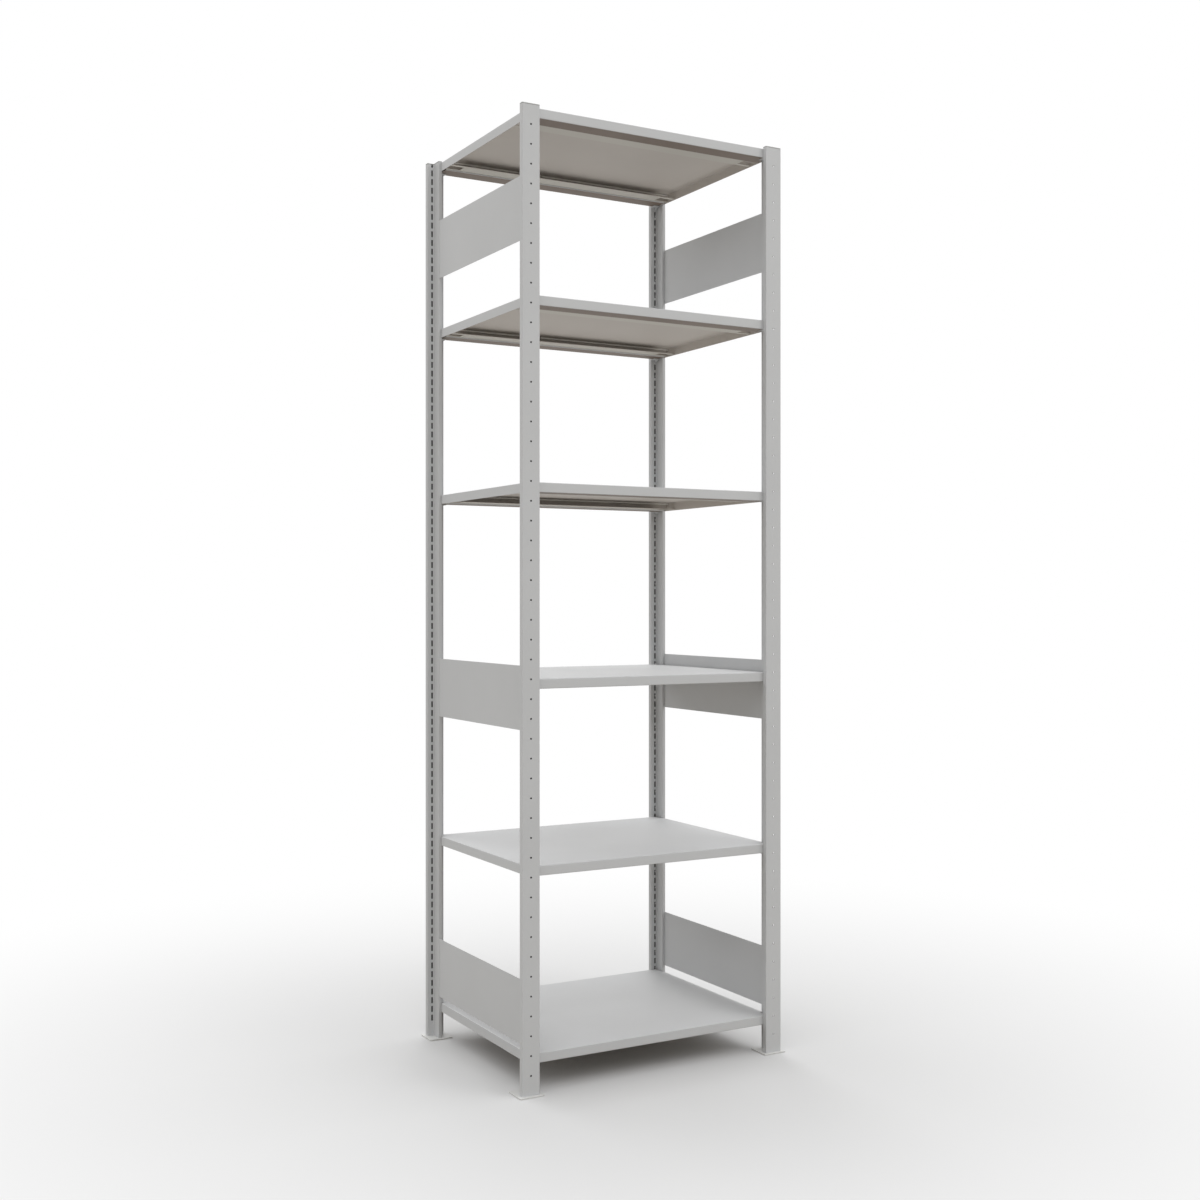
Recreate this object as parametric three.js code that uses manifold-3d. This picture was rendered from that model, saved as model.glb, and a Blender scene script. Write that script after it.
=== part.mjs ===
// One free-standing bay of double sided sheet-steel library shelving.
// Millimetres. X runs along the shelves, Y from the front to the rear, Z up.
// The origin is on the floor, under the middle of the bay.
import * as THREE from 'three';
import { mergeGeometries, mergeVertices } from 'three/addons/utils/BufferGeometryUtils.js';
import Module from 'manifold-3d';

const wasm = await Module();
wasm.setup();

// Side frames
const BAY_PITCH = 750;            // between the centres of the left and right posts
const FRAME_DEPTH = 625;          // over the outer faces of the front and rear posts

// T-section posts, roll formed and hollow
const POST_LENGTH = 2500;
const POST_DEPTH = 50;            // from the flange face to the free end of the web
const FLANGE_WIDTH = 50;
const FLANGE_THICK = 15;
const WEB_WIDTH = 11;
const POST_WALL = 1.5;
const POST_BEND = 1.8;            // outer radius of the post's corners

// Rows of hook slots in the inner side of each flange
const SLOT_PITCH = 25;
const FIRST_SLOT = 50;            // centre of the lowest slot above the end of the post
const SLOT_LENGTH = 17;
const SLOT_WIDTH = 4.5;
const SLOT_OFFSET = 11;           // from the post's centre line to a row

// Foot plates and top caps, both with a plug inside the post
const FOOT_MARGIN = 10;           // plate around the post
const FOOT_THICK = 3;
const FOOT_CORNER = 4;
const FOOT_PLUG = 30;
const CAP_THICK = 2.5;
const CAP_PLUG = 12;
const PLUG_CLEARANCE = 0.4;

// Shelves: one folded sheet each
const SHELF_COUNT = 6;
const LOWEST_SHELF_SLOT = 1;      // index of the slot that carries the bottom shelf
const SHELF_HEIGHT = 25;
const SHELF_SHEET = 1;
const SHELF_RETURN = 52.5;        // folded in under the front and rear edges
const SHELF_UPSTAND = 12;         // folded up from the return
const SHELF_BEND = 2;             // outer radius of the folds
const SHELF_END_GAP = 2.4;        // from a shelf's end to the centre plane of the posts
const SHELF_FACE_GAP = 0.5;       // from a shelf's edge to the flange
const WEB_SIDE_GAP = 4.4;         // corner notch beside the web
const WEB_END_GAP = 1.5;          // corner notch in front of the web

// Stiffening rails under the shelves' long edges
const RAIL_SHEET = 1.5;
const RAIL_HEIGHT = 21;
const RAIL_FLANGE = 48.5;
const RAIL_LIP = 12;
const RAIL_BEND = 2.5;
const RAIL_NOTCH_LENGTH = 45;     // opening in the flange at each end
const RAIL_NOTCH_WIDTH = 37;

// Side panels that join a front and a rear post
const PANEL_HEIGHT = 165;
const PANEL_SHEET = 1.5;
const PANEL_GRIP = 12;            // length of panel inside each web
const PANEL_INSET = 0.5;          // from the panel to the web's outer wall
const LOW_PANEL = 200;            // centres above the lower end of the posts
const MIDDLE_PANEL = 1000;
const HIGH_PANEL_DROP = 250;      // centre below the upper end of the posts

// Shelf clips
const CLIP_SHEET = 2;
const CLIP_REACH = 20;            // tongue out from the flange
const CLIP_GUSSET = 10;           // depth of the blade below the tongue
const CLIP_NOSE = 3;              // thickness of the hook inside the flange
const CLIP_DROP = 5;              // hook below the slot's lower end
const CLIP_SEAT = 1;              // a shelf's underside below the centre of its slot

// Clearances and mesh settings
const FIT = 0.3;                  // between pieces that seat on each other
const OVERCUT = 2;                // how far a cutter stands clear of what it cuts
const BEND_STEPS = 2;             // flats in a quarter turn
const WELD = 1e-4;                // vertices nearer than this are one

// Values worked out from the sizes above
const POST_FOOT = FOOT_THICK + FIT;
const POST_X = BAY_PITCH / 2;
const POST_Y = FRAME_DEPTH / 2;
const WEB_END_Y = POST_Y - POST_DEPTH;
const SLOT_COUNT = Math.floor((POST_LENGTH - FIRST_SLOT) / SLOT_PITCH);
const SHELF_HALF_LENGTH = POST_X - SHELF_END_GAP;
const SHELF_HALF_DEPTH = POST_Y - FLANGE_THICK - SHELF_FACE_GAP;
const PANEL_CENTRES = { bottom: LOW_PANEL, middle: MIDDLE_PANEL, top: POST_LENGTH - HIGH_PANEL_DROP };
const PANEL_OUTER = WEB_WIDTH / 2 - POST_WALL - PANEL_INSET;   // from the post's centre plane
const SIDES = { left: -1, right: 1 };
const FACES = { front: -1, rear: 1 };

const powderCoat = new THREE.MeshStandardMaterial({ color: 0xc5c7c4, roughness: 0.55, metalness: 0.0 });
const underCoat = new THREE.MeshStandardMaterial({ color: 0xb4b1aa, roughness: 0.6, metalness: 0.0 });
const zincPlate = new THREE.MeshStandardMaterial({ color: 0xa9abad, roughness: 0.4, metalness: 0.8 });
const capPlastic = new THREE.MeshStandardMaterial({ color: 0xb4b6b4, roughness: 0.6, metalness: 0.0 });

// Solids and booleans

function solidOf(geometry) {
  const bare = geometry.clone();
  bare.deleteAttribute('normal');
  bare.deleteAttribute('uv');
  const welded = mergeVertices(bare, WELD);
  const vertProperties = new Float32Array(welded.attributes.position.array);
  const triVerts = new Uint32Array(welded.index.array);
  return new wasm.Manifold(new wasm.Mesh({ numProp: 3, vertProperties, triVerts }));
}

function geometryOf(solid) {
  const mesh = solid.getMesh();
  const geometry = new THREE.BufferGeometry();
  geometry.setAttribute('position', new THREE.BufferAttribute(mesh.vertProperties, 3));
  geometry.setIndex(new THREE.BufferAttribute(mesh.triVerts, 1));
  geometry.computeVertexNormals();
  return geometry;
}

function joined(first, ...others) {
  const whole = others.reduce((solid, geometry) => solid.add(solidOf(geometry)), solidOf(first));
  return geometryOf(whole);
}

function cut(geometry, cutters) {
  return geometryOf(solidOf(geometry).subtract(solidOf(mergeGeometries(cutters))));
}

// A box given by its lowest and highest values along each axis, in either order.
function block([x0, x1], [y0, y1], [z0, z1]) {
  const box = new THREE.BoxGeometry(Math.abs(x1 - x0), Math.abs(y1 - y0), Math.abs(z1 - z0));
  box.translate((x0 + x1) / 2, (y0 + y1) / 2, (z0 + z1) / 2);
  return box.toNonIndexed();
}

// Profiles

// The points of a quarter turn of a given radius at a square corner.
function bendPoints(corner, into, out, radius, turn) {
  const centre = corner.clone().addScaledVector(into, -turn).addScaledVector(out, turn);
  const points = [];
  for (let step = 0; step <= BEND_STEPS; step += 1) {
    const angle = (Math.PI / 2) * (step / BEND_STEPS);
    const point = centre.clone().addScaledVector(out, -radius * Math.cos(angle));
    points.push(point.addScaledVector(into, radius * Math.sin(angle)));
  }
  return points;
}

function heading(from, to) {
  return to.clone().sub(from).normalize();
}

// A closed outline of square corners, each rounded to the same radius.
function roundedOutline(corners, radius) {
  const points = corners.flatMap((corner, index) => {
    const before = corners[(index + corners.length - 1) % corners.length];
    const after = corners[(index + 1) % corners.length];
    return bendPoints(corner, heading(before, corner), heading(corner, after), radius, radius);
  });
  return new THREE.Shape(points);
}

// The section of a sheet folded along a path of left turns. The path is the sheet's outer face.
function foldedSheet(path, sheet, bend) {
  const outer = [path[0]];
  const inner = [];
  const first = heading(path[0], path[1]);
  inner.push(new THREE.Vector2(path[0].x - first.y * sheet, path[0].y + first.x * sheet));
  for (let index = 1; index < path.length - 1; index += 1) {
    const into = heading(path[index - 1], path[index]);
    const out = heading(path[index], path[index + 1]);
    outer.push(...bendPoints(path[index], into, out, bend, bend));
    inner.push(...bendPoints(path[index], into, out, bend - sheet, bend));
  }
  const end = path[path.length - 1];
  const last = heading(path[path.length - 2], end);
  outer.push(end);
  inner.push(new THREE.Vector2(end.x - last.y * sheet, end.y + last.x * sheet));
  return new THREE.Shape([...outer, ...inner.reverse()]);
}

function pathOf(pairs) {
  return pairs.map(([a, b]) => new THREE.Vector2(a, b));
}

function extrude(shape, depth) {
  return new THREE.ExtrudeGeometry(shape, { depth, bevelEnabled: false });
}

// Carries a (Y, Z) section along X, the same distance to both sides of the origin.
function alongX(shape, halfLength) {
  const geometry = extrude(shape, 2 * halfLength);
  const axes = new THREE.Matrix4().makeBasis(
    new THREE.Vector3(0, 1, 0),
    new THREE.Vector3(0, 0, 1),
    new THREE.Vector3(1, 0, 0),
  );
  geometry.applyMatrix4(axes);
  geometry.translate(-halfLength, 0, 0);
  return geometry;
}

// Carries an (X, Z) section along Y, the same distance to both sides of the origin.
function alongY(shape, halfLength) {
  const geometry = extrude(shape, 2 * halfLength);
  geometry.rotateX(Math.PI / 2);
  geometry.translate(0, halfLength, 0);
  return geometry;
}

// Corners of the post's T, moved in from its outside by an inset.
// U is across the flange and V runs from the outer face of the flange to the end of the web.
function teeCorners(inset) {
  const wing = FLANGE_WIDTH / 2 - inset;
  const web = WEB_WIDTH / 2 - inset;
  return pathOf([
    [-wing, inset],
    [wing, inset],
    [wing, FLANGE_THICK - inset],
    [web, FLANGE_THICK - inset],
    [web, POST_DEPTH - inset],
    [-web, POST_DEPTH - inset],
    [-web, FLANGE_THICK - inset],
    [-wing, FLANGE_THICK - inset],
  ]);
}

// Pieces of a post, in the post's own U, V and Z, with Z from the post's lower end

function slotHeight(index) {
  return FIRST_SLOT + SLOT_PITCH * index;
}

// The slots that carry the shelves, spread as evenly as the row allows.
function shelfSlot(shelf) {
  const span = SLOT_COUNT - 1 - LOWEST_SHELF_SLOT;
  return LOWEST_SHELF_SLOT + Math.round((span * shelf) / (SHELF_COUNT - 1));
}

function shelfUnderside(shelf) {
  return slotHeight(shelfSlot(shelf)) - CLIP_SEAT;
}

// The row of slots on the bay's side of the post. It runs past the upper end, which leaves half a slot.
function slotCutters(inward) {
  const across = [inward * SLOT_OFFSET - SLOT_WIDTH / 2, inward * SLOT_OFFSET + SLOT_WIDTH / 2];
  const through = [FLANGE_THICK - POST_WALL - OVERCUT, FLANGE_THICK + OVERCUT];
  const cutters = [];
  for (let index = 0; index <= SLOT_COUNT; index += 1) {
    const centre = slotHeight(index);
    cutters.push(block(across, through, [centre - SLOT_LENGTH / 2, centre + SLOT_LENGTH / 2]));
  }
  return cutters;
}

// The slits in the end of the web that the side panels go into.
function panelCutters(inward) {
  const outer = -inward * (PANEL_OUTER + FIT);
  const inner = -inward * (PANEL_OUTER - PANEL_SHEET - FIT);
  const through = [POST_DEPTH - POST_WALL - OVERCUT, POST_DEPTH + OVERCUT];
  const half = PANEL_HEIGHT / 2 + FIT;
  return Object.values(PANEL_CENTRES).map((centre) => (
    block([outer, inner], through, [centre - half, centre + half])
  ));
}

function postGeometry(inward) {
  const section = roundedOutline(teeCorners(0), POST_BEND);
  section.holes.push(new THREE.Path(teeCorners(POST_WALL)));
  const tube = extrude(section, POST_LENGTH);
  return cut(tube, [...slotCutters(inward), ...panelCutters(inward)]);
}

function footGeometry() {
  const side = FLANGE_WIDTH / 2 + FOOT_MARGIN;
  const plate = roundedOutline(pathOf([
    [-side, -FOOT_MARGIN],
    [side, -FOOT_MARGIN],
    [side, POST_DEPTH + FOOT_MARGIN],
    [-side, POST_DEPTH + FOOT_MARGIN],
  ]), FOOT_CORNER);
  const base = extrude(plate, FOOT_THICK);
  base.translate(0, 0, -POST_FOOT);
  const plug = extrude(new THREE.Shape(teeCorners(POST_WALL + PLUG_CLEARANCE)), FOOT_PLUG + OVERCUT);
  plug.translate(0, 0, -FIT - OVERCUT);
  return joined(base, plug);
}

// The cap's plug is a tongue in the web, which leaves the half slots at the post's upper end open.
function capGeometry() {
  const lid = extrude(roundedOutline(teeCorners(0), POST_BEND), CAP_THICK);
  lid.translate(0, 0, POST_LENGTH + FIT);
  const inset = POST_WALL + PLUG_CLEARANCE;
  const side = WEB_WIDTH / 2 - inset;
  const height = [POST_LENGTH - CAP_PLUG, POST_LENGTH + FIT + CAP_THICK / 2];
  return joined(lid, block([-side, side], [inset, POST_DEPTH - inset], height));
}

// A clip: a tongue under the shelf on an upright blade, hooked through a slot. Z is from the shelf.
function clipGeometry(inward) {
  const wallInside = FLANGE_THICK - POST_WALL - FIT;
  const wallOutside = FLANGE_THICK + FIT;
  const tip = FLANGE_THICK + CLIP_REACH;
  const under = -FIT - CLIP_SHEET;
  const neck = CLIP_SEAT - SLOT_LENGTH / 2 + FIT;
  const blade = new THREE.Shape(pathOf([
    [tip, under],
    [wallInside - CLIP_NOSE, under],
    [wallInside - CLIP_NOSE, neck - CLIP_DROP],
    [wallInside, neck - CLIP_DROP],
    [wallInside, neck],
    [wallOutside, neck],
    [wallOutside, under - CLIP_GUSSET],
  ]));
  const upright = alongX(blade, CLIP_SHEET / 2);
  upright.translate(inward * SLOT_OFFSET, 0, 0);
  const clearOfBend = WEB_WIDTH / 2 + POST_BEND + FIT;
  const across = [inward * clearOfBend, inward * (FLANGE_WIDTH / 2)];
  return joined(block(across, [wallOutside, tip], [under, -FIT]), upright);
}

// Pieces of a shelf, with Z from the shelf's underside

function shelfGeometry() {
  const edge = SHELF_HALF_DEPTH;
  const fold = edge - SHELF_RETURN;
  const section = foldedSheet(pathOf([
    [fold, SHELF_UPSTAND],
    [fold, 0],
    [edge, 0],
    [edge, SHELF_HEIGHT],
    [-edge, SHELF_HEIGHT],
    [-edge, 0],
    [-fold, 0],
    [-fold, SHELF_UPSTAND],
  ]), SHELF_SHEET, SHELF_BEND);
  const end = SHELF_HALF_LENGTH;
  const notchX = POST_X - WEB_WIDTH / 2 - WEB_SIDE_GAP;
  const notchY = WEB_END_Y - WEB_END_GAP;
  const height = [-OVERCUT, SHELF_HEIGHT + OVERCUT];
  const aprons = [-1, 1].map((side) => (
    block([side * (end - SHELF_SHEET), side * end], [-notchY, notchY], [0, SHELF_HEIGHT])
  ));
  const corners = [-1, 1].flatMap((side) => [-1, 1].map((face) => (
    block([side * notchX, side * (end + OVERCUT)], [face * notchY, face * (edge + OVERCUT)], height)
  )));
  const endFold = new THREE.Shape([
    new THREE.Vector2(-end, -OVERCUT),
    new THREE.Vector2(end, -OVERCUT),
    ...bendPoints(
      new THREE.Vector2(end, SHELF_HEIGHT),
      new THREE.Vector2(0, 1),
      new THREE.Vector2(-1, 0),
      SHELF_BEND,
      SHELF_BEND,
    ),
    ...bendPoints(
      new THREE.Vector2(-end, SHELF_HEIGHT),
      new THREE.Vector2(-1, 0),
      new THREE.Vector2(0, -1),
      SHELF_BEND,
      SHELF_BEND,
    ),
  ]);
  const tray = joined(alongX(section, end), ...aprons);
  const rounded = solidOf(tray).intersect(solidOf(alongY(endFold, edge + OVERCUT)));
  return cut(geometryOf(rounded), corners);
}

function railGeometry(face) {
  const top = SHELF_HEIGHT - SHELF_SHEET - FIT;
  const low = top - RAIL_HEIGHT;
  const wall = -(SHELF_HALF_DEPTH - SHELF_RETURN - FIT);
  const section = foldedSheet(pathOf([
    [wall + RAIL_LIP, top],
    [wall, top],
    [wall, low],
    [wall + RAIL_FLANGE, low],
  ]), RAIL_SHEET, RAIL_BEND);
  const end = SHELF_HALF_LENGTH - SHELF_SHEET - FIT;
  const width = [wall + RAIL_BEND, wall + RAIL_NOTCH_WIDTH];
  const notches = [-1, 1].map((side) => block(
    [side * (end - RAIL_NOTCH_LENGTH), side * (end + OVERCUT)],
    width,
    [low - OVERCUT, low + RAIL_SHEET + OVERCUT],
  ));
  const rail = cut(alongX(section, end), notches);
  if (face === FACES.rear) {
    rail.rotateZ(Math.PI);
  }
  return rail;
}

// Assembly

const shelving = new THREE.Group();

function addPiece(parent, name, geometry, material) {
  const mesh = new THREE.Mesh(geometry, material.clone());
  mesh.name = name;
  parent.add(mesh);
  return mesh;
}

for (const [faceName, face] of Object.entries(FACES)) {
  for (const [sideName, side] of Object.entries(SIDES)) {
    const corner = `${faceName}_${sideName}`;
    const inward = side * face;
    const stand = new THREE.Group();
    stand.position.set(side * POST_X, face * POST_Y, POST_FOOT);
    stand.rotation.z = face === FACES.rear ? Math.PI : 0;
    shelving.add(stand);
    addPiece(stand, `post_${corner}`, postGeometry(inward), powderCoat);
    addPiece(stand, `foot_plate_${corner}`, footGeometry(), zincPlate);
    addPiece(stand, `post_cap_${corner}`, capGeometry(), capPlastic);
    for (let shelf = 0; shelf < SHELF_COUNT; shelf += 1) {
      const name = `shelf_${shelf + 1}_clip_${corner}`;
      const clip = addPiece(stand, name, clipGeometry(inward), zincPlate);
      clip.position.z = shelfUnderside(shelf);
    }
  }
}

for (const [sideName, side] of Object.entries(SIDES)) {
  const outer = side * (POST_X + PANEL_OUTER);
  const inner = side * (POST_X + PANEL_OUTER - PANEL_SHEET);
  const reach = WEB_END_Y + PANEL_GRIP;
  for (const [level, centre] of Object.entries(PANEL_CENTRES)) {
    const height = [-PANEL_HEIGHT / 2, PANEL_HEIGHT / 2];
    const sheet = block([outer, inner], [-reach, reach], height);
    const panel = addPiece(shelving, `side_panel_${sideName}_${level}`, sheet, powderCoat);
    panel.position.z = POST_FOOT + centre;
  }
}

for (let shelf = 0; shelf < SHELF_COUNT; shelf += 1) {
  const tray = new THREE.Group();
  tray.position.z = POST_FOOT + shelfUnderside(shelf);
  shelving.add(tray);
  addPiece(tray, `shelf_${shelf + 1}`, shelfGeometry(), powderCoat);
  for (const [faceName, face] of Object.entries(FACES)) {
    addPiece(tray, `shelf_${shelf + 1}_rail_${faceName}`, railGeometry(face), underCoat);
  }
}

export default shelving;
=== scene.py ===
"""Finish of one bay of double sided library shelving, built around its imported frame. Metres, +Z up."""

import math

import bpy
import numpy as np
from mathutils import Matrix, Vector


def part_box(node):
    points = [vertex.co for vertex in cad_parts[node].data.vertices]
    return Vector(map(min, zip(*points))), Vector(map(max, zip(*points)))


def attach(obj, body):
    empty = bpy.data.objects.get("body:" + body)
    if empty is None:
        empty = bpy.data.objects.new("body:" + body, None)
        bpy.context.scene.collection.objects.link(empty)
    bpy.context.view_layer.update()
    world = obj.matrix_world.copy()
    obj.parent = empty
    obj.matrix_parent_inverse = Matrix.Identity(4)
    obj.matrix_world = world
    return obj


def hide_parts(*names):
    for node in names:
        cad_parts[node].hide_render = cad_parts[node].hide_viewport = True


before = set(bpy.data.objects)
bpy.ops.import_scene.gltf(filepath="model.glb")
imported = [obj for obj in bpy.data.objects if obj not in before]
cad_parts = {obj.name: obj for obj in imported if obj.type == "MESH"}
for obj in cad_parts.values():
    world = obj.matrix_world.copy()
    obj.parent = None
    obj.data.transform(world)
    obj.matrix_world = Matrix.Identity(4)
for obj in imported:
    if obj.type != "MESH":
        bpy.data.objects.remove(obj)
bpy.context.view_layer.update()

MM = 0.001

# Posts: the sizes that the frame's boxes don't give
FLANGE_THICK = 15 * MM
WEB_WIDTH = 11 * MM
POST_WALL = 1.5 * MM
POST_BEND = 1.8 * MM
POST_BEND_STEPS = 3
PITCH = 25 * MM                # of the hook slots, and the height of a perforated cell
FIRST_SLOT = 2                 # cells are counted from the post's lower end
SLOT_LENGTH = 17 * MM
SLOT_WIDTH = 4.5 * MM
SLOT_OFFSET = 11 * MM          # from the post's centre line
HOLE_DIAMETER = 5 * MM
HOLE_EVERY = 2                 # cells from one front hole to the next
CELL_STEPS = 4                 # parts of each side of a perforated cell

# Shelves and their rails
SHELF_SHEET = 1 * MM
SHELF_BEND = 2 * MM
SHELF_BEND_STEPS = 5
SHELF_RETURN = 52.5 * MM
SHELF_UPSTAND = 12 * MM
NOTCH_LENGTH = 7.5 * MM        # corner notch, along the shelf
NOTCH_DEPTH = 36 * MM          # corner notch, across the shelf
RAIL_SHEET = 1.5 * MM
RAIL_BEND = 2.5 * MM
RAIL_BEND_STEPS = 5
RAIL_LIP = 12 * MM
RAIL_HEM = 5 * MM              # turned down from the lip's free edge
RAIL_NOTCH_LENGTH = 45 * MM
RAIL_NOTCH_WIDTH = 37 * MM
RAIL_HEEL = 8 * MM             # flange left beside the wall at a notch
SPAN_STEPS = 12                # parts of a shelf's length and depth

# Edges and faces
SMALL_EDGE = 0.4 * MM          # rounding of the panels', clips', feet's and caps' edges
SMALL_EDGE_STEPS = 2
FLAT_ANGLE = math.radians(40)  # sharper edges than this stay sharp
POINT_SIZE = 0.001 * MM        # points of a sheet nearer than this are one
JOIN_SIZE = 0.01 * MM          # and corners of a solid's triangles
FACING = 0.9                   # least share of a normal along an axis, for a flat face that looks along it
BEND_FACING = 0.5              # and for a face of a bend

# Words in the names of nodes
FACES = ("front", "rear")
SIDES = ("left", "right")
LEVELS = ("bottom", "middle", "top")
SHELVES = range(1, 7)

# Camera, from the photograph's frame of 1200 x 1200 pixels
FRAME_PIXELS = 1200
FOCAL_PIXELS = 1498.3
CENTRE_ROW = 599.05            # row of the photograph's optical centre
SENSOR = 36.0                  # width in millimetres
CAMERA_PLACE = (-2.0753, -3.6900, 1.2556)
CAMERA_YAW = math.radians(29.356)
CAMERA_REACH = 200.0           # it sees as far as this

# Light and floor
DOME_LOW = 0.33                # strength of the dome at the horizon
DOME_HIGH = 1.08               # and overhead
DOME_RISE = 0.7                # sine of the elevation from which it is brightest
LAMPS = {                      # place and power in watts
    "front_left": ((-2.2, -4.2, 5.2), 17.0),
    "front_right": ((2.4, -4.2, 4.5), 43.0),
    "rear_right": ((1.8, 4.8, 4.4), 62.0),
    "rear_left": ((-2.4, 4.4, 4.4), 34.0)}
LAMP_SIZE = 3.0                # across
LAMP_AIM = (0.0, 0.0, 1.0)
FLOOR_HALF = 40.0              # half the floor's width
FLOOR_DROP = 0.2 * MM          # keeps it clear of the feet
FLOOR_ROUGHNESS = 0.9
FLOOR_TONE = "#dcdcdc"         # as it is seen
FLOOR_BOUNCE = "#b4b0a9"       # as it lights the undersides
FADE_START = 0.45              # the floor fades to white between these distances
FADE_END = 2.8
WHITE = "#ffffff"

# Sprayed and moulded skins
SKIN_IOR = 1.5
PATCH_DETAIL = 3.0
PATCH_ROUGHNESS = 0.55
PATCH_DARK = 0.3               # value of the noise where the darker tone is full
PATCH_LIGHT = 0.7              # and the lighter one
GRAIN_DETAIL = 2.0
GRAIN_ROUGHNESS = 0.5
GRAIN_STRENGTH = 0.35


# Materials

def linear(hex_code):
    """An sRGB hex colour as linear RGB with alpha: the standard sRGB curve, undone."""
    code = hex_code.lstrip("#")
    srgb = np.array([int(code[i:i + 2], 16) for i in (0, 2, 4)]) / 255.0
    rgb = np.where(srgb <= 0.04045, srgb / 12.92, ((srgb + 0.055) / 1.055) ** 2.4)
    return (*rgb.tolist(), 1.0)


def add_node(tree, kind, settings=(), inputs=()):
    """One shader node. Settings are its properties; inputs are socket values or (node, output) links."""
    node = tree.nodes.new(kind)
    for key, value in dict(settings).items():
        setattr(node, key, value)
    for key, value in dict(inputs).items():
        if isinstance(value, tuple) and isinstance(value[0], bpy.types.Node):
            tree.links.new(value[0].outputs[value[1]], node.inputs[key])
        else:
            node.inputs[key].default_value = value
    return node


def sprayed_skin(name, light, dark, grain, depth, patch, roughness, spread):
    """A sprayed or moulded skin: two close tones in soft patches, a fine grain as bump, and uneven gloss.

    Patch and grain are real sizes in metres, so a noise texture's scale is one over the size."""
    material = bpy.data.materials.new(name)
    material.use_nodes = True
    tree = material.node_tree
    shader = tree.nodes["Principled BSDF"]
    shader.inputs["IOR"].default_value = SKIN_IOR
    place = add_node(tree, "ShaderNodeTexCoord")
    clouds = add_node(tree, "ShaderNodeTexNoise", {}, {
        "Vector": (place, "Object"), "Scale": 1.0 / patch,
        "Detail": PATCH_DETAIL, "Roughness": PATCH_ROUGHNESS})
    tones = add_node(tree, "ShaderNodeValToRGB", {}, {"Fac": (clouds, "Fac")})
    low, high = tones.color_ramp.elements
    low.position, low.color = PATCH_DARK, linear(dark)
    high.position, high.color = PATCH_LIGHT, linear(light)
    peel = add_node(tree, "ShaderNodeTexNoise", {}, {
        "Vector": (place, "Object"), "Scale": 1.0 / grain,
        "Detail": GRAIN_DETAIL, "Roughness": GRAIN_ROUGHNESS})
    bump = add_node(tree, "ShaderNodeBump", {}, {
        "Strength": GRAIN_STRENGTH, "Distance": depth, "Height": (peel, "Fac")})
    gloss = add_node(tree, "ShaderNodeMapRange", {}, {
        "Value": (peel, "Fac"), "To Min": roughness - spread, "To Max": roughness + spread})
    tree.links.new(tones.outputs["Color"], shader.inputs["Base Color"])
    tree.links.new(gloss.outputs["Result"], shader.inputs["Roughness"])
    tree.links.new(bump.outputs["Normal"], shader.inputs["Normal"])
    return material


# Polyester powder, sprayed and baked: it flows out to a faint orange peel with little gloss.
POWDER_COAT = sprayed_skin(
    "polyester_powder_coat", light="#cccdce", dark="#c9cacb",
    grain=3 * MM, depth=0.02 * MM, patch=220 * MM, roughness=0.65, spread=0.04)
# Undersides and the inside of rails take a warmer copy of the coat: a painted warm shade under the shelves.
UNDERSIDE_WARM_SHADE_COAT = sprayed_skin(
    "underside_coat_painted_warm_shade", light="#ccc6c0", dark="#c8c2bc",
    grain=3 * MM, depth=0.03 * MM, patch=180 * MM, roughness=0.62, spread=0.05)
# The rails' outside takes a copy of the coat a little warmer and paler: painted warm light under the
# shelves.
RAIL_WARM_LIGHT_COAT = sprayed_skin(
    "rail_coat_painted_warm_light", light="#d0cdc6", dark="#ccc9c2",
    grain=3 * MM, depth=0.03 * MM, patch=140 * MM, roughness=0.6, spread=0.05)
# The folded-in returns take a dark brown: painted shade on the shelves' lowest, downward faces.
RETURN_SHADE_COAT = sprayed_skin(
    "returns_painted_shade", light="#83756b", dark="#7d6f65",
    grain=3 * MM, depth=0.03 * MM, patch=120 * MM, roughness=0.6, spread=0.05)
# The feet take a paler copy of the coat: painted light, so that they stay bright in the bay's shadow.
FOOT_LIGHT_COAT = sprayed_skin(
    "foot_coat_painted_light", light="#dadad8", dark="#d6d6d4",
    grain=3 * MM, depth=0.02 * MM, patch=60 * MM, roughness=0.65, spread=0.04)
# The rails' hems take a near-white: a painted highlight, so that they show as the palest line.
HEM_HIGHLIGHT_COAT = sprayed_skin(
    "hem_painted_highlight", light="#f8f6f2", dark="#f4f2ee",
    grain=3 * MM, depth=0.02 * MM, patch=60 * MM, roughness=0.65, spread=0.04)
# The inside of a post is bare rolled steel, painted near-black as the shade in its hollow; the rims of its
# slots and holes take it too.
POST_INSIDE_SHADE = sprayed_skin(
    "bare_steel_painted_shade", light="#2e2b2a", dark="#262423",
    grain=4 * MM, depth=0.03 * MM, patch=80 * MM, roughness=0.55, spread=0.06)
# Moulded polypropylene: a spark-eroded grain, a tone darker than the powder.
CAP_PLASTIC = sprayed_skin(
    "moulded_polypropylene", light="#b4b5b3", dark="#acadab",
    grain=2 * MM, depth=0.05 * MM, patch=60 * MM, roughness=0.62, spread=0.06)


# Sheets of quads

def carried(profile, path):
    """Grid of a profile carried along a path: a row for each profile point, a column for each path step."""
    return profile[:, None, :] + path[None, :, :]


def in_axes(points, first, second):
    """Plane points placed in space: their two values go to the axes numbered first and second."""
    space = np.zeros((len(points), 3))
    space[:, first] = points[:, 0]
    space[:, second] = points[:, 1]
    return space


def along_axis(values, axis):
    """Steps along one axis as points in space."""
    space = np.zeros((len(values), 3))
    space[:, axis] = values
    return space


def quarter_turn(corner, into, out, radius, steps):
    """A square corner turned on a radius: a quarter circle from one run's direction to the next's."""
    angle = np.linspace(0.0, math.pi / 2, steps + 1)[:, None]
    centre = corner - radius * into + radius * out
    return centre - radius * np.cos(angle) * out + radius * np.sin(angle) * into


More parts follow.
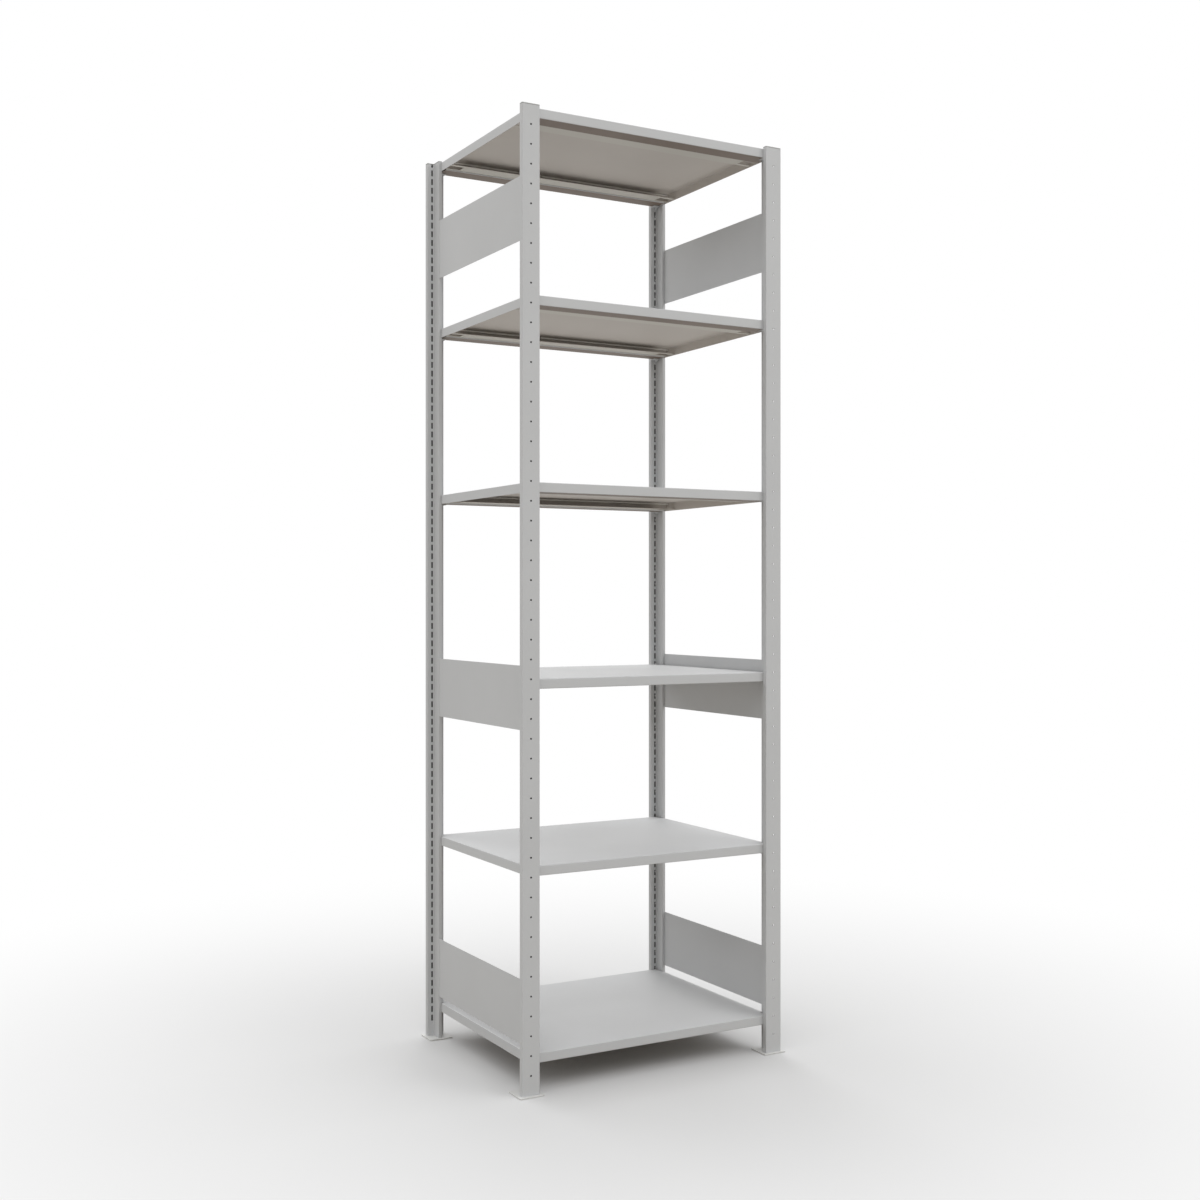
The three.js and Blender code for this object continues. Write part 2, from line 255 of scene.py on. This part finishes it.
def folded_path(corners, radius, steps):
    """Outer face of a folded sheet: straight runs between the corners, each inner corner a quarter turn.

    A last run of no length, where the path stops at the end of a bend, adds no point."""
    corners = np.asarray(corners, float)
    runs = np.diff(corners, axis=0)
    runs /= np.linalg.norm(runs, axis=1)[:, None]
    bends = [quarter_turn(*bend, radius, steps) for bend in zip(corners[1:-1], runs[:-1], runs[1:])]
    points = np.concatenate([corners[:1], *bends, corners[-1:]])
    fresh = np.linalg.norm(np.diff(points, axis=0), axis=1) > POINT_SIZE
    return points[np.append(True, fresh)]


def welded(patches, low=-math.inf, high=math.inf):
    """Grid patches as one sheet: each grid cell is a quad, and equal points are one vertex.

    Points are held between a low and a high level, and quads that this flattens are dropped."""
    sizes = [grid.shape[0] * grid.shape[1] for grid in patches]
    starts = np.cumsum([0, *sizes[:-1]])
    quads = []
    for grid, size, start in zip(patches, sizes, starts):
        index = np.arange(size).reshape(grid.shape[:2]) + start
        corners = [index[:-1, :-1], index[1:, :-1], index[1:, 1:], index[:-1, 1:]]
        quads.append(np.stack(corners, axis=-1).reshape(-1, 4))
    quads = np.concatenate(quads)
    points = np.concatenate([grid.reshape(-1, 3) for grid in patches])
    points[:, 2] = np.clip(points[:, 2], low, high)
    heights = points[quads][:, :, 2]
    flat = (heights >= high).all(axis=1) | (heights <= low).all(axis=1)
    keys = np.round(points / POINT_SIZE).astype(np.int64)
    _, first, same = np.unique(keys, axis=0, return_index=True, return_inverse=True)
    return points[first], same.reshape(-1)[quads[~flat]]


def add_sheet(name, sheet, wall, body, outside, inside):
    """A welded sheet as a piece: its wall grows inwards, flats shade flat and bends shade smooth."""
    points, quads = sheet
    mesh = bpy.data.meshes.new(name)
    mesh.from_pydata(points.tolist(), [], quads.tolist())
    mesh.materials.append(outside)
    mesh.materials.append(inside)
    mesh.shade_smooth()
    piece = bpy.data.objects.new(f"{name}_finish", mesh)
    bpy.context.scene.collection.objects.link(piece)
    solidify = piece.modifiers.new("wall", "SOLIDIFY")
    solidify.thickness = wall
    solidify.offset = -1.0
    solidify.use_even_offset = True
    solidify.material_offset = 1
    solidify.material_offset_rim = 1
    piece.data = bpy.data.meshes.new_from_object(piece.evaluated_get(bpy.context.evaluated_depsgraph_get()))
    piece.modifiers.clear()
    piece.data.set_sharp_from_angle(angle=FLAT_ANGLE)
    piece.modifiers.new("flat_faces", "WEIGHTED_NORMAL").keep_sharp = True
    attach(piece, body)
    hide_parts(name)
    return piece


def turned_to_rear(points):
    """Half a turn about the bay's upright middle axis."""
    return points * np.array([-1.0, -1.0, 1.0])


# Posts

def cell_ring():
    """Points round the edge of a square from -1 to 1: anticlockwise from its lower left corner, closed."""
    step = np.linspace(-1.0, 1.0, CELL_STEPS + 1)[:-1]
    one = np.ones(CELL_STEPS)
    sides = ((step, -one), (one, step), (-step, one), (-one, -step))
    ring = np.concatenate([np.stack(side, axis=-1) for side in sides])
    return np.concatenate([ring, ring[:1]])


def round_hole():
    """The ring drawn in to a circle: each point goes to the hole's edge in its own direction."""
    angle = np.arctan2(*cell_ring().T[::-1])
    return HOLE_DIAMETER / 2 * np.stack([np.cos(angle), np.sin(angle)], axis=-1)


def hook_slot():
    """The ring drawn in to an upright slot: each side keeps its share of the slot's width or length."""
    return cell_ring() * np.array([SLOT_WIDTH, SLOT_LENGTH]) / 2


def plain_strip(start, end, levels):
    """A flat strip of the post's skin: the run from start to end of the section, at every level."""
    return carried(in_axes(np.stack([start, end]), 0, 1), along_axis(levels, 2))


def pierced_strip(start, end, centres, opening, pierced):
    """A flat strip in square cells. A pierced cell is a ring of quads from its opening out to its edge.

    The opening is a closed ring of points: lengths along the strip from its start, and heights from the
    cell's centre."""
    run = end - start
    step = np.linspace(0.0, 1.0, CELL_STEPS + 1)
    edge = (cell_ring() + 1.0) / 2
    patches = []
    for cell, centre in enumerate(centres):
        if pierced(cell):
            along = np.stack([opening[:, 0] / np.linalg.norm(run), edge[:, 0]])
            height = np.stack([opening[:, 1], (edge[:, 1] - 0.5) * PITCH])
        else:
            along, height = np.meshgrid(step, (step - 0.5) * PITCH, indexing="ij")
        flat = start + along[..., None] * run
        patches.append(np.concatenate([flat, (centre + height)[..., None]], axis=-1))
    return patches


def post_sheet(length, width, depth):
    """Outer skin of a post: the T's outline, anticlockwise, with its corners turned and its flats pierced.

    From the first slot up, both inner flats have a slot in every cell, and the front flat has a round hole
    in every second one."""
    wing, web = width / 2, WEB_WIDTH / 2
    corners = np.array([
        (-wing, 0.0), (wing, 0.0), (wing, FLANGE_THICK), (web, FLANGE_THICK),
        (web, depth), (-web, depth), (-web, FLANGE_THICK), (-wing, FLANGE_THICK)])
    runs = np.roll(corners, -1, axis=0) - corners
    runs /= np.linalg.norm(runs, axis=1)[:, None]
    cells = round(length / PITCH)
    centres = PITCH * np.arange(cells + 1)
    levels = np.linspace(-PITCH / 2, length + PITCH / 2, (cells + 1) * CELL_STEPS + 1)
    starts = corners + POST_BEND * runs
    ends = np.roll(corners, -1, axis=0) - POST_BEND * runs
    front, right_wing, left_wing = 0, 2, 6  # the sides that are pierced
    patches = []
    for side, (start, end) in enumerate(zip(starts, ends)):
        bend = quarter_turn(corners[side], runs[side - 1], runs[side], POST_BEND, POST_BEND_STEPS)
        patches.append(carried(in_axes(bend, 0, 1), along_axis(levels, 2)))
        if side == front:
            opening = round_hole() + np.array([wing - POST_BEND, 0.0])
            holes = range(FIRST_SLOT, cells, HOLE_EVERY)
            patches += pierced_strip(start, end, centres, opening, lambda cell: cell in holes)
        elif side in (right_wing, left_wing):
            offset = abs(start[0] - math.copysign(SLOT_OFFSET, start[0]))
            opening = hook_slot() + np.array([offset, 0.0])
            patches += pierced_strip(start, end, centres, opening, lambda cell: cell >= FIRST_SLOT)
        else:
            patches.append(plain_strip(start, end, levels))
    return welded(patches, 0.0, length)


def add_posts():
    """The four posts: one sheet, stood at each corner's place with its flange outwards."""
    low, high = (np.array(corner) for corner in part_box("post_front_left"))
    points, quads = post_sheet(high[2] - low[2], high[0] - low[0], high[1] - low[1])
    for face in FACES:
        for side in SIDES:
            name = f"post_{face}_{side}"
            low, high = (np.array(corner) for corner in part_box(name))
            middle = (low[0] + high[0]) / 2
            if face == "front":
                placed = points + np.array([middle, low[1], low[2]])
            else:
                placed = turned_to_rear(points) + np.array([middle, high[1], low[2]])
            add_sheet(name, (placed, quads), POST_WALL, "frame", POWDER_COAT, POST_INSIDE_SHADE)


# Shelves

def shelf_sheet(half_length, half_depth, height):
    """Outer skin of a shelf: long edges folded and carried along it, a plate, and an apron at each end."""
    notch_x = half_length - NOTCH_LENGTH
    notch_y = half_depth - NOTCH_DEPTH
    fold = half_depth - SHELF_RETURN
    long_steps = along_axis(np.linspace(-notch_x, notch_x, SPAN_STEPS + 1), 0)
    across = np.linspace(-notch_y, notch_y, SPAN_STEPS + 1)
    flat_edge = half_depth - SHELF_BEND
    edge = folded_path(
        [(fold, SHELF_UPSTAND), (fold, 0.0), (half_depth, 0.0), (half_depth, height), (flat_edge, height)],
        SHELF_BEND, SHELF_BEND_STEPS)
    front_edge = carried(in_axes(edge * np.array([-1.0, 1.0]), 1, 2)[::-1], long_steps)
    rear_edge = carried(in_axes(edge, 1, 2), long_steps)
    plate_steps = np.concatenate([[flat_edge], across[::-1], [-flat_edge]])
    plate_rows = in_axes(np.stack([plate_steps, np.full(len(plate_steps), height)], axis=-1), 1, 2)
    plate = carried(plate_rows, long_steps)
    end = folded_path(
        [(notch_x, height), (half_length, height), (half_length, 0.0)], SHELF_BEND, SHELF_BEND_STEPS)
    right_end = carried(in_axes(end, 0, 2), along_axis(across, 1))
    left_end = carried(in_axes(end * np.array([-1.0, 1.0]), 0, 2), along_axis(across[::-1], 1))
    return welded([front_edge, rear_edge, plate, right_end, left_end])


def rail_sheet(half_length, wall, free_edge, height):
    """Outer skin of a front rail: a hemmed lip, a wall and a flange, carried along the rail row by row.

    At each end the flange is cut away, but for a heel beside the wall and a strip at its free edge."""
    lip = wall + RAIL_LIP
    heel = wall + RAIL_HEEL
    notch_x = half_length - RAIL_NOTCH_LENGTH
    notch_y = wall + RAIL_NOTCH_WIDTH
    inner = np.linspace(-notch_x, notch_x, SPAN_STEPS + 1)
    whole = np.concatenate([[-half_length], inner, [half_length]])
    channel = folded_path(
        [(lip, height - RAIL_HEM), (lip, height), (wall, height), (wall, 0.0), (heel, 0.0)],
        RAIL_BEND, RAIL_BEND_STEPS)
    rows = (
        (channel, whole),
        ([(heel, 0.0), (notch_y, 0.0)], inner),
        ([(notch_y, 0.0), (free_edge, 0.0)], whole))
    return welded([carried(in_axes(np.asarray(row), 1, 2), along_axis(steps, 0)) for row, steps in rows])


def recoat(piece, material, chosen):
    """Gives another finish to some faces of a piece: those whose centres and normals are chosen."""
    mesh = piece.data
    mesh.materials.append(material)
    faces = len(mesh.polygons)
    centres, normals, coats = np.empty((faces, 3)), np.empty((faces, 3)), np.empty(faces, np.int32)
    mesh.polygons.foreach_get("center", centres.ravel())
    mesh.polygons.foreach_get("normal", normals.ravel())
    mesh.polygons.foreach_get("material_index", coats)
    coats[chosen(centres, normals)] = len(mesh.materials) - 1
    mesh.polygons.foreach_set("material_index", coats)


def paint_return_shade(shelf, level):
    """Painted shade on a shelf's folded-in returns: the faces at its own underside that look down."""
    recoat(shelf, RETURN_SHADE_COAT, lambda centres, normals: (
        (centres[:, 2] < level + SHELF_BEND) & (normals[:, 2] < -FACING)))


def paint_hem_highlight(rail, top):
    """Painted highlight on a rail's hem: the faces near its top that look towards the bay's middle."""
    recoat(rail, HEM_HIGHLIGHT_COAT, lambda centres, normals: (
        (centres[:, 2] > top - RAIL_HEM) & (normals[:, 1] * np.sign(centres[:, 1]) < -BEND_FACING)))


def add_shelves():
    """The six shelves and their rails: the same sheets at each shelf's level, on that shelf's body."""
    low, high = (np.array(corner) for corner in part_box("shelf_1"))
    shelf, shelf_quads = shelf_sheet(high[0], high[1], high[2] - low[2])
    low, high = (np.array(corner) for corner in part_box("shelf_1_rail_front"))
    rail, rail_quads = rail_sheet(high[0], low[1], high[1], high[2] - low[2])
    for number in SHELVES:
        name = f"shelf_{number}"
        body = f"shelf_body_{number}"
        level = np.array([0.0, 0.0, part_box(name)[0][2]])
        piece = add_sheet(
            name, (shelf + level, shelf_quads), SHELF_SHEET, body, POWDER_COAT, UNDERSIDE_WARM_SHADE_COAT)
        paint_return_shade(piece, level[2])
        for face in FACES:
            rail_name = f"{name}_rail_{face}"
            bottom, top = (corner[2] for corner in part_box(rail_name))
            placed = rail if face == "front" else turned_to_rear(rail)
            sheet = (placed + np.array([0.0, 0.0, bottom]), rail_quads)
            piece = add_sheet(rail_name, sheet, RAIL_SHEET, body, RAIL_WARM_LIGHT_COAT, UNDERSIDE_WARM_SHADE_COAT)
            paint_hem_highlight(piece, top)


# Pieces that keep their solids

def finish_solid(name, material):
    """A piece whose solid has its final form: its loose triangles are joined and its edges broken."""
    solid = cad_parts[name]
    solid.data.materials.clear()
    solid.data.materials.append(material)
    solid.modifiers.new("joined", "WELD").merge_threshold = JOIN_SIZE
    edges = solid.modifiers.new("broken_edges", "BEVEL")
    edges.width = SMALL_EDGE
    edges.segments = SMALL_EDGE_STEPS
    edges.limit_method = "ANGLE"
    edges.angle_limit = FLAT_ANGLE


def add_finishes():
    """Finishes of the feet, caps, clips and side panels."""
    for side in SIDES:
        for level in LEVELS:
            finish_solid(f"side_panel_{side}_{level}", POWDER_COAT)
        for face in FACES:
            finish_solid(f"foot_plate_{face}_{side}", FOOT_LIGHT_COAT)
            finish_solid(f"post_cap_{face}_{side}", CAP_PLASTIC)
            for number in SHELVES:
                finish_solid(f"shelf_{number}_clip_{face}_{side}", POWDER_COAT)


# Studio

def add_seen(tree):
    """A light path node, and a node that is 1 for the rays that see: those of camera, gloss and glass."""
    rays = add_node(tree, "ShaderNodeLightPath")
    seen = add_node(tree, "ShaderNodeMath", {"operation": "MAXIMUM"}, {
        0: (rays, "Is Camera Ray"), 1: (rays, "Is Glossy Ray")})
    seen = add_node(tree, "ShaderNodeMath", {"operation": "MAXIMUM"}, {
        0: (seen, "Value"), 1: (rays, "Is Transmission Ray")})
    return rays, seen


def add_floor():
    """A wide pale floor: near the bay it takes the shadow, further out it fades into the white backdrop."""
    mesh = bpy.data.meshes.new("floor")
    corners = FLOOR_HALF * np.array([(-1, -1, 0), (1, -1, 0), (1, 1, 0), (-1, 1, 0)])
    mesh.from_pydata((corners - np.array([0.0, 0.0, FLOOR_DROP])).tolist(), [], [(0, 1, 2, 3)])
    floor = bpy.data.objects.new("floor", mesh)
    bpy.context.scene.collection.objects.link(floor)
    material = bpy.data.materials.new("white_studio_floor")
    material.use_nodes = True
    tree = material.node_tree
    paint = tree.nodes["Principled BSDF"]
    paint.inputs["Roughness"].default_value = FLOOR_ROUGHNESS
    paint.inputs["Specular IOR Level"].default_value = 0.0
    rays, seen = add_seen(tree)
    tone = add_node(tree, "ShaderNodeMix", {"data_type": "RGBA"}, {
        "Factor": (rays, "Is Camera Ray"), 6: linear(FLOOR_BOUNCE), 7: linear(FLOOR_TONE)})
    tree.links.new(tone.outputs[2], paint.inputs["Base Color"])
    place = add_node(tree, "ShaderNodeTexCoord")
    reach = add_node(tree, "ShaderNodeVectorMath", {"operation": "LENGTH"}, {0: (place, "Object")})
    fade = add_node(tree, "ShaderNodeMapRange", {"interpolation_type": "SMOOTHSTEP"}, {
        "Value": (reach, "Value"), "From Min": FADE_START, "From Max": FADE_END})
    share = add_node(tree, "ShaderNodeMath", {"operation": "MULTIPLY"}, {
        0: (fade, "Result"), 1: (seen, "Value")})
    white = add_node(tree, "ShaderNodeEmission", {}, {"Color": linear(WHITE), "Strength": 1.0})
    mixed = add_node(tree, "ShaderNodeMixShader", {}, {
        0: (share, "Value"), 1: (paint, "BSDF"), 2: (white, "Emission")})
    tree.links.new(mixed.outputs["Shader"], tree.nodes["Material Output"].inputs["Surface"])
    mesh.materials.append(material)


def add_light():
    """Soft studio light: a white dome that brightens overhead, and a large soft lamp above each corner."""
    world = bpy.data.worlds.new("studio")
    bpy.context.scene.world = world
    world.use_nodes = True
    tree = world.node_tree
    dome = tree.nodes["Background"]
    _, seen = add_seen(tree)
    sky = add_node(tree, "ShaderNodeTexCoord")
    rise = add_node(tree, "ShaderNodeSeparateXYZ", {}, {"Vector": (sky, "Generated")})
    glow = add_node(tree, "ShaderNodeMapRange", {"interpolation_type": "SMOOTHSTEP"}, {
        "Value": (rise, "Z"), "From Min": 0.0, "From Max": DOME_RISE,
        "To Min": DOME_LOW, "To Max": DOME_HIGH})
    strength = add_node(tree, "ShaderNodeMix", {}, {
        "Factor": (seen, "Value"), "A": (glow, "Result"), "B": 1.0})
    tree.links.new(strength.outputs[0], dome.inputs["Strength"])
    dome.inputs["Color"].default_value = linear(WHITE)
    for name, (place, power) in LAMPS.items():
        lamp = bpy.data.lights.new(name, "AREA")
        lamp.shape = "DISK"
        lamp.size = LAMP_SIZE
        lamp.energy = power
        stand = bpy.data.objects.new(name, lamp)
        stand.location = place
        stand.rotation_euler = (Vector(place) - Vector(LAMP_AIM)).to_track_quat("Z", "Y").to_euler()
        bpy.context.scene.collection.objects.link(stand)


def add_camera():
    """The photograph's camera: level, turned to the right, its focal length worked out in pixels."""
    data = bpy.data.cameras.new("camera")
    data.sensor_width = SENSOR
    data.lens = SENSOR * FOCAL_PIXELS / FRAME_PIXELS
    data.shift_y = (CENTRE_ROW - FRAME_PIXELS / 2) / FRAME_PIXELS
    data.clip_end = CAMERA_REACH
    camera = bpy.data.objects.new("camera", data)
    camera.location = CAMERA_PLACE
    camera.rotation_euler = (math.pi / 2, 0.0, -CAMERA_YAW)
    bpy.context.scene.collection.objects.link(camera)
    bpy.context.scene.camera = camera


add_posts()
add_shelves()
add_finishes()
add_floor()
add_light()
add_camera()
bpy.context.scene.view_settings.view_transform = "Standard"
